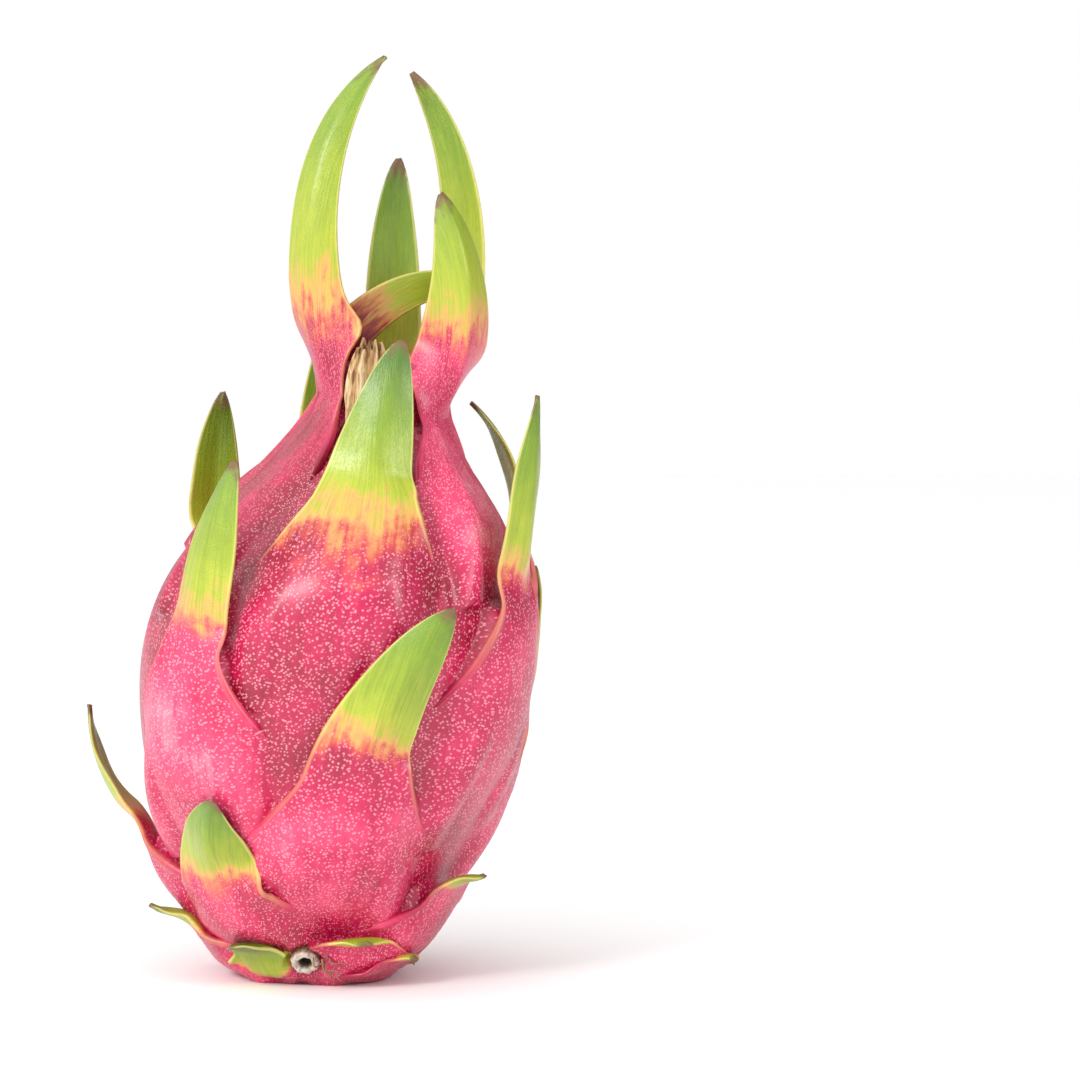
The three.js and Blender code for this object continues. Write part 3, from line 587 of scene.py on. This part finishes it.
def sheath_object(sizes):
    """The withered flower: rings round a slightly bent line, up the outside and down the
    inside. Each ring's radius is the sheath's, times folds that deepen upwards and twist,
    times fine wrinkles, and the mouth is torn by three sine waves round it."""
    foot, top, radius = (np.array(sizes.flower_foot) / MM, np.array(sizes.flower_top) / MM, sizes.flower_radius / MM)
    columns = 140
    share = np.concatenate([np.linspace(0, 1, 70), np.linspace(0.995, 0.84, 26)])
    inside = np.concatenate([np.zeros(70), np.linspace(0.12, 1, 26)])
    width = np.interp(share, [0, 0.25, 0.5, 0.72, 0.9, 1], [0.8, 0.98, 1, 0.9, 0.68, 0.5])
    depth = np.interp(share, [0, 0.25, 0.5, 0.72, 0.9, 1], [0.04, 0.08, 0.12, 0.16, 0.2, 0.22])
    angle = np.arange(columns) * 2 * np.pi / columns
    share, inside, width, depth = (values[:, None] for values in (share, inside, width, depth))
    folds = 1 + depth * np.cos(FLOWER_FOLDS * angle + share * 2)
    wrinkles = 1 - 0.035 * np.abs(np.sin(17 * angle + 5 * share)) - 0.02 * np.sin(29 * angle - 9 * share)
    reach = radius * width * folds * wrinkles - (0.55 + 0.9 * inside) * (inside > 0)
    torn = 1 - 0.07 * smooth(0.5, 1, share) * (1 + np.sin(3 * angle + 1) * np.sin(5 * angle) + 0.4 * np.sin(13 * angle))
    centre = foot + (top - foot) * (share * torn)[..., None]
    centre[..., 1] += 1.2 * np.sin(np.pi * share)
    ring = np.stack([np.cos(angle) + 0 * reach, np.sin(angle) + 0 * reach, 0 * reach], axis=-1)
    rings = centre + ring * np.maximum(reach, 0.4)[..., None]
    rows = len(share)
    count = rows * columns
    points = np.vstack([rings.reshape(-1, 3), [foot, rings[-1].mean(axis=0)]])
    faces = grid_faces(rows, columns, True) + cap_fans(0, count - columns, columns, count, count + 1)
    up = np.append((share + 0 * reach).ravel(), [0, 0.8])
    # fold is the folds' phase, -1 in their furrows, where the petal material paints shade.
    fold = np.append((np.cos(FLOWER_FOLDS * angle + share * 2) + 0 * reach).ravel(), [0, 0])
    return mesh_object("withered_flower", points, faces, marks={"up": up, "fold": fold})


def stub_object(body, sizes):
    """The cut stem: a lathe profile of radius and height turned about the outward direction,
    with an uneven rim and rough bark from sine waves."""
    seat, out, side = stub_axis(body, sizes)
    radius = sizes.scar_radius / MM
    columns = 96
    profile = np.array([(0.8, -6), (1, -1), (1, 0.9), (0.9, 1.5), (0.7, 1.6), (0.5, 1), (0.34, -0.5), (0.12, -1.2)])
    steps = np.linspace(0, len(profile) - 1, 72)
    r, h = (np.interp(steps, np.arange(len(profile)), profile[:, i])[:, None] for i in range(2))
    angle = np.arange(columns) * 2 * np.pi / columns
    rough = 1 + 0.03 * np.sin(9 * angle + h) + 0.025 * np.sin(23 * angle - 2 * h) * smooth(-4, 0, h)
    level = 0.25 * np.sin(2 * angle + 0.5) * np.sin(5 * angle) * smooth(0, 1.4, h)
    across, up = np.cos(angle) * r * radius * rough, np.sin(angle) * r * radius * rough
    rings = seat + across[..., None] * side + up[..., None] * np.cross(out, side) + (h + level)[..., None] * out
    rows = len(r)
    count = rows * columns
    points = np.vstack([rings.reshape(-1, 3), rings[0].mean(axis=0), rings[-1].mean(axis=0)])
    points = np.maximum(points, (-1e3, -1e3, 0.4))
    faces = grid_faces(rows, columns, True) + cap_fans(0, count - columns, columns, count, count + 1)
    faces = [face[::-1] for face in faces]
    # Mask of the painted shade in the stem's hollow: 1 in the bowl inside the lip.
    hollow = np.append((smooth(0.62, 0.34, r) * (h < 1.2) + 0 * rough).ravel(), [0, 1])
    return mesh_object("stem_stub", points, faces, marks={"hollow": hollow, "lip": np.append((smooth(0.2, 1.3, h) + 0 * rough).ravel(), [0, 0])})


def tube_object(name, path, radii, sides=8):
    """A round strand along a path, its radius given at each point, closed by a cone at each end."""
    along, level, up = path_frames(path)
    angle = np.arange(sides) * 2 * np.pi / sides
    ring = level[:, None] * np.cos(angle)[None, :, None] + up[:, None] * np.sin(angle)[None, :, None]
    rings = path[:, None] + ring * radii[:, None, None]
    count = len(path) * sides
    points = np.vstack([rings.reshape(-1, 3), path[0] - along[0] * radii[0], path[-1] + along[-1] * radii[-1]])
    faces = grid_faces(len(path), sides, True) + cap_fans(0, count - sides, sides, count, count + 1)
    return mesh_object(name, points, faces)


def fibre_paths(sizes):
    """Dry fibres beside the stub: helices that shrink as they run down to the right, each with
    its own start, turns and radius in millimetres."""
    seat = np.array(sizes.fibre_place) / MM
    t = np.linspace(0, 1, 90)[:, None]
    for start, end, turns, curl in (
        ((-1.4, -0.4, 1.6), (4.6, 0.6, -2.2), 2.4, 0.9),
        ((0.4, -0.5, 1.2), (3.4, 0.2, -3), 1.6, 0.6),
        ((1.2, -0.2, 2.2), (5.6, 1.2, 0.2), 1.2, 0.5),
    ):
        line = seat + mix(np.array(start), np.array(end), t)
        angle = 2 * np.pi * turns * t + turns
        yield line + curl * (1 - 0.4 * t) * np.hstack([0.4 * np.sin(angle), 0.5 * np.cos(angle), np.sin(angle)])


def node(tree, kind, inputs=None, **settings):
    """A new shader node. Its settings are set, and its inputs are linked or given a value."""
    made = tree.nodes.new("ShaderNode" + kind)
    for key, value in settings.items():
        setattr(made, key, value)
    for key, value in (inputs or {}).items():
        if isinstance(value, bpy.types.NodeSocket):
            tree.links.new(value, made.inputs[key])
        else:
            made.inputs[key].default_value = value
    return made


def maths(tree, operation, *values):
    return node(tree, "Math", dict(enumerate(values)), operation=operation).outputs[0]


def total(tree, start, *terms):
    """Sum of start and of each value times its weight."""
    for value, weight in terms:
        start = maths(tree, "MULTIPLY_ADD", value, weight, start)
    return start


def step(tree, value, low, high):
    """Smooth step of a value from 0 at low to 1 at high."""
    inputs = {"Value": value, "From Min": low, "From Max": high}
    return node(tree, "MapRange", inputs, interpolation_type="SMOOTHSTEP").outputs[0]


def opaque(colour):
    return colour if isinstance(colour, bpy.types.NodeSocket) else (*colour, 1)


def blend(tree, share, first, second):
    """Colour that goes from first to second as share goes from 0 to 1."""
    return node(tree, "Mix", {0: share, 6: opaque(first), 7: opaque(second)}, data_type="RGBA").outputs[2]


def ramp(tree, value, stops):
    """Colour that runs through the stops, each a value and a colour."""
    made = node(tree, "ValToRGB", {0: value})
    elements = made.color_ramp.elements
    for place, _ in stops[1:-1]:
        elements.new(place)
    for element, (place, colour) in zip(elements, stops):
        element.position = place
        element.color = (*colour, 1)
    return made.outputs[0]


def mark(tree, name):
    return node(tree, "Attribute", attribute_name=name).outputs["Fac"]


def noise(tree, vector, scale, detail=3):
    return node(tree, "TexNoise", {"Vector": vector, "Scale": scale, "Detail": detail}).outputs[0]


def fibre_group():
    """The shared effect of skin, dry petal and wood: noise drawn out along Z into fibres, put
    out as the mask of the darker fibres and as a height."""
    group = bpy.data.node_groups.get("fibres")
    if group:
        return group
    group = bpy.data.node_groups.new("fibres", "ShaderNodeTree")
    for name, kind in (("Vector", "NodeSocketVector"), ("Scale", "NodeSocketFloat"), ("Stretch", "NodeSocketFloat")):
        group.interface.new_socket(name, in_out="INPUT", socket_type=kind)
    for name in ("Mask", "Height"):
        group.interface.new_socket(name, in_out="OUTPUT", socket_type="NodeSocketFloat")
    given = group.nodes.new("NodeGroupInput")
    stretch = node(group, "CombineXYZ", {"X": 1.0, "Y": 1.0, "Z": given.outputs["Stretch"]}).outputs[0]
    drawn = node(group, "VectorMath", {0: given.outputs["Vector"], 1: stretch}, operation="MULTIPLY").outputs[0]
    height = noise(group, drawn, given.outputs["Scale"], 5)
    put = group.nodes.new("NodeGroupOutput")
    group.links.new(step(group, height, 0.42, 0.68), put.inputs["Mask"])
    group.links.new(height, put.inputs["Height"])
    return group


def fibres(tree, vector, scale, stretch):
    placed = node(tree, "Group", node_tree=fibre_group())
    tree.links.new(vector, placed.inputs["Vector"])
    placed.inputs["Scale"].default_value = scale
    placed.inputs["Stretch"].default_value = stretch
    return placed.outputs["Mask"], placed.outputs["Height"]


def new_material(name):
    material = bpy.data.materials.new(name)
    material.use_nodes = True
    return material, material.node_tree, material.node_tree.nodes["Principled BSDF"]


def rind_material(looks):
    """Skin of the fruit and its scales. The pink runs from dark red to pale with tint and a
    soft mottling, darkened by painted shade where the swellings sink into creases, with pale dots from the distance to
    scattered points; from ripe upwards it turns to peach, yellow-green and dark green, with thin pale edges and dry
    brown tips."""
    if "waxy_skin" in bpy.data.materials:
        return bpy.data.materials["waxy_skin"]
    material, tree, shader = new_material("waxy_skin")
    skin = node(tree, "Attribute", attribute_name="skin").outputs["Vector"]
    ripe, grow, edge, tint, crease_shade = (mark(tree, name) for name in ("ripe", "grow", "edge", "tint", "crease_shade"))
    patch = maths(tree, "SUBTRACT", noise(tree, skin, 70), 0.5)
    blotch = maths(tree, "SUBTRACT", noise(tree, skin, 260, 4), 0.5)
    streak, rib = fibres(tree, skin, 900.0, 0.07)
    vein, _ = fibres(tree, skin, 2600.0, 0.03)
    # The crease term paints shade: it darkens the skin where the swellings sink into creases.
    pale = total(tree, 0.5, (tint, 0.45), (patch, 0.9), (blotch, 0.3), (crease_shade, -0.15), (streak, -0.1))
    # The two darkest stops, dark red and wine, are partly the skin's own tone and partly painted shade from the crease
    # term and crown_curl's tint.
    pinks = ((0, looks.dark_red_and_shade), (0.2, looks.wine), (0.46, looks.magenta), (0.72, looks.pink), (1, looks.pale_pink))
    pink = ramp(tree, pale, pinks)
    cells = {"Vector": skin, "Scale": 1600.0, "Randomness": 1.0}
    dots = step(tree, node(tree, "TexVoronoi", cells).outputs["Distance"], 0.46, 0.16)
    sunlit = step(tree, tint, -0.6, -0.2)
    flat = maths(tree, "MULTIPLY", sunlit, step(tree, edge, 0.985, 0.93))
    dotted = maths(tree, "MULTIPLY", maths(tree, "MULTIPLY", dots, flat), looks.dot_strength)
    pink = blend(tree, dotted, pink, looks.dot)
    turn = total(tree, ripe, (patch, 0.3), (blotch, 0.3), (streak, -0.05))
    leaf_place = total(tree, 0.3, (turn, 0.7))
    leaves = (
        (0.2, looks.orange),
        (0.27, looks.peach),
        (0.36, looks.lime),
        (0.66, looks.green),
        (0.95, looks.dark_green),
    )
    leaf = ramp(tree, leaf_place, leaves)
    leaf = blend(tree, maths(tree, "MULTIPLY", vein, 0.3), leaf, looks.dark_green)
    colour = blend(tree, step(tree, turn, -0.22, -0.02), pink, leaf)
    green_edge = maths(tree, "MULTIPLY", step(tree, edge, 0.94, 0.99), step(tree, ripe, -0.5, 0.1))
    colour = blend(tree, maths(tree, "MULTIPLY", green_edge, 0.45), colour, looks.edge)
    dry = step(tree, total(tree, grow, (blotch, 0.25), (edge, 0.02)), 0.9, 1.0)
    colour = blend(tree, dry, colour, looks.dry)
    tree.links.new(colour, shader.inputs["Base Color"])
    tree.links.new(total(tree, 0.36, (blotch, 0.25), (dry, 0.3), (dotted, 0.1)), shader.inputs["Roughness"])
    height = total(tree, 0.0, (dotted, 0.35), (rib, 0.7), (blotch, 0.5))
    bump = node(tree, "Bump", {"Height": height, "Strength": 0.5, "Distance": 0.0004})
    tree.links.new(bump.outputs[0], shader.inputs["Normal"])
    shader.inputs["Coat Weight"].default_value = 0.25
    shader.inputs["Coat Roughness"].default_value = 0.24
    shader.inputs["Subsurface Weight"].default_value = 0.08
    shader.inputs["Subsurface Radius"].default_value = (0.004, 0.0012, 0.0012)
    return material


def petal_material(looks):
    """Withered petal: straw with brown fibres that run up it, darker at the mouth, with painted shade in the furrows of
    the folds, pinkish at the foot."""
    material, tree, shader = new_material("straw_petal")
    place = node(tree, "TexCoord").outputs["Object"]
    streak, rib = fibres(tree, place, 1500.0, 0.12)
    patch = noise(tree, place, 260)
    fold, up = mark(tree, "fold"), mark(tree, "up")
    # The fold term paints shade: darker in the furrows between the folds, lighter on their ridges.
    shade = total(tree, 0.12, (streak, 0.5), (fold, -0.2), (patch, 0.4), (step(tree, up, 0.75, 1), 0.3))
    colour = ramp(tree, shade, ((0.15, looks.straw), (0.55, looks.tan), (0.95, looks.brown)))
    colour = blend(tree, maths(tree, "MULTIPLY", step(tree, up, 0.3, 0.05), 0.7), colour, looks.petal_foot)
    tree.links.new(colour, shader.inputs["Base Color"])
    tree.links.new(total(tree, 0.62, (rib, 0.3)), shader.inputs["Roughness"])
    bump = node(tree, "Bump", {"Height": rib, "Strength": 0.8, "Distance": 0.0006})
    tree.links.new(bump.outputs[0], shader.inputs["Normal"])
    return material


def wood_material(looks):
    """Cut stem: brown bark, pale grey on the lip with dark fibres, and painted shade, nearly black, in the hollow."""
    if "cut_wood" in bpy.data.materials:
        return bpy.data.materials["cut_wood"]
    material, tree, shader = new_material("cut_wood")
    place = node(tree, "TexCoord").outputs["Object"]
    streak, rib = fibres(tree, place, 1800.0, 0.5)
    grey = blend(tree, maths(tree, "MULTIPLY", streak, 0.6), looks.lip, looks.bark)
    bark = blend(tree, streak, looks.bark, looks.brown)
    colour = blend(tree, mark(tree, "lip"), bark, grey)
    # Paint the stem's hollow nearly black as shade.
    colour = blend(tree, mark(tree, "hollow"), colour, looks.hollow)
    tree.links.new(colour, shader.inputs["Base Color"])
    tree.links.new(total(tree, 0.7, (rib, 0.3)), shader.inputs["Roughness"])
    bump = node(tree, "Bump", {"Height": rib, "Strength": 0.9, "Distance": 0.0006})
    tree.links.new(bump.outputs[0], shader.inputs["Normal"])
    return material


def stage_material(name, colour):
    material, _, shader = new_material(name)
    shader.inputs["Base Color"].default_value = (*colour, 1)
    shader.inputs["Roughness"].default_value = 0.6
    return material


def fit(pieces, material, stands_for):
    """Give the pieces their material, hang them under the root, and hide the solid of the frame that they stand for."""
    for piece in pieces:
        piece.data.materials.append(material)
        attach(piece, "root")
        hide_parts(stands_for)


def fruit_shape(context):
    sizes = context.scene.fruit_rind
    body = Body(sizes)
    return sizes, body, [Scale(row, body, number) for number, row in enumerate(ROWS)]


class FRUIT_OT_body(Operator):
    """Make the rind under the scales"""

    bl_idname = "fruit.body"
    bl_label = "Body"

    def execute(self, context):
        sizes, body, scales = fruit_shape(context)
        fit([body_object(body, scales, sizes, context.scene.fruit_dry)], rind_material(context.scene.fruit_colours), "fruit")
        return {"FINISHED"}


class FRUIT_OT_scales(Operator):
    """Make the scales that grow out of the rind"""

    bl_idname = "fruit.scales"
    bl_label = "Scales"

    def execute(self, context):
        sizes, body, scales = fruit_shape(context)
        made = [scale_object(body, scales, scale, sizes, context.scene.fruit_dry) for scale in scales]
        fit(made, rind_material(context.scene.fruit_colours), "fruit")
        return {"FINISHED"}


class FRUIT_OT_flower(Operator):
    """Make the withered flower in the neck"""

    bl_idname = "fruit.flower"
    bl_label = "Withered flower"

    def execute(self, context):
        made = sheath_object(context.scene.fruit_dry)
        fit([made], petal_material(context.scene.fruit_colours), "dried_flower")
        return {"FINISHED"}


class FRUIT_OT_stem(Operator):
    """Make the cut stem and the dry fibres beside it"""

    bl_idname = "fruit.stem"
    bl_label = "Stem scar"

    def execute(self, context):
        sizes, body, _ = fruit_shape(context)
        dry = context.scene.fruit_dry
        made = [stub_object(body, dry)]
        for number, path in enumerate(fibre_paths(dry)):
            radii = dry.fibre_radius / MM * (1 - 0.5 * np.linspace(0, 1, len(path)))
            made.append(tube_object(f"dry_fibre_{number}", path, radii))
        fit(made, wood_material(context.scene.fruit_colours), "stem_scar")
        return {"FINISHED"}


class FRUIT_OT_stage(Operator):
    """Make the floor, the lights and the camera"""

    bl_idname = "fruit.stage"
    bl_label = "Stage"

    def execute(self, context):
        scene = context.scene
        stage = scene.fruit_stage
        data = bpy.data.cameras.new("camera")
        camera = bpy.data.objects.new("camera", data)
        scene.collection.objects.link(camera)
        toward = Vector((0, -math.cos(stage.tilt), math.sin(stage.tilt)))
        camera.location = Vector(stage.centre) + stage.distance * toward
        camera.rotation_euler = (math.pi / 2 - stage.tilt, 0, 0)
        data.sensor_width = 36
        data.lens = data.sensor_width * stage.distance / stage.picture_width
        scene.camera = camera
        bpy.ops.mesh.primitive_plane_add(size=stage.floor_width)
        floor = context.object
        floor.name = "floor"
        floor.data.materials.append(stage_material("floor", stage.floor_colour))
        world = bpy.data.worlds.new("world")
        scene.world = world
        world.use_nodes = True
        tree = world.node_tree
        seen = node(tree, "LightPath").outputs["Is Camera Ray"]
        way = node(tree, "TexCoord").outputs["Generated"]
        facing = node(tree, "VectorMath", {0: way, 1: (-0.62, -0.42, 0.66)}, operation="DOT_PRODUCT").outputs["Value"]
        bright = step(tree, facing, -0.5, 0.95)
        sky = maths(tree, "MULTIPLY_ADD", bright, stage.sky - stage.sky_shade, stage.sky_shade)
        strength = maths(tree, "MULTIPLY_ADD", seen, maths(tree, "SUBTRACT", 1, sky), sky)
        tree.links.new(strength, tree.nodes["Background"].inputs["Strength"])
        tree.nodes["Background"].inputs["Color"].default_value = (1, 1, 1, 1)
        for name, place, energy, size in (
            ("key", (-0.55, -0.75, 0.6), stage.key_power, 0.3),
            ("fill", (0.75, -0.5, 0.4), stage.fill_power, 0.3),
        ):
            lamp = bpy.data.lights.new(name, "AREA")
            lamp.energy = energy
            lamp.size = size
            light = bpy.data.objects.new(name, lamp)
            scene.collection.objects.link(light)
            light.location = place
            light.rotation_euler = (Vector((0, 0, 0.08)) - light.location).to_track_quat("-Z", "Y").to_euler()
        scene.view_settings.view_transform = "Standard"
        return {"FINISHED"}


OPERATORS = (FRUIT_OT_body, FRUIT_OT_scales, FRUIT_OT_flower, FRUIT_OT_stem, FRUIT_OT_stage)
GROUPS = {"fruit_rind": RindSizes, "fruit_dry": DrySizes, "fruit_colours": Colours, "fruit_stage": StageSizes}


class FRUIT_PT_panel(Panel):
    """Lists the pieces of the fruit with their sizes and colours"""

    bl_idname = "FRUIT_PT_panel"
    bl_label = "Dragon fruit"
    bl_space_type = "VIEW_3D"
    bl_region_type = "UI"
    bl_category = "Fruit"

    def draw(self, context):
        for operator in OPERATORS:
            self.layout.operator(operator.bl_idname)
        for name, group in GROUPS.items():
            box = self.layout.box()
            for key in group.__annotations__:
                box.prop(getattr(context.scene, name), key)


CLASSES = (*GROUPS.values(), *OPERATORS, FRUIT_PT_panel)


def register():
    for cls in CLASSES:
        bpy.utils.register_class(cls)
    for name, group in GROUPS.items():
        setattr(bpy.types.Scene, name, PointerProperty(type=group))


def unregister():
    for name in GROUPS:
        delattr(bpy.types.Scene, name)
    for cls in reversed(CLASSES):
        bpy.utils.unregister_class(cls)


def main():
    register()
    bpy.ops.fruit.body()
    bpy.ops.fruit.scales()
    bpy.ops.fruit.flower()
    bpy.ops.fruit.stem()
    bpy.ops.fruit.stage()


if __name__ == "__main__":
    main()
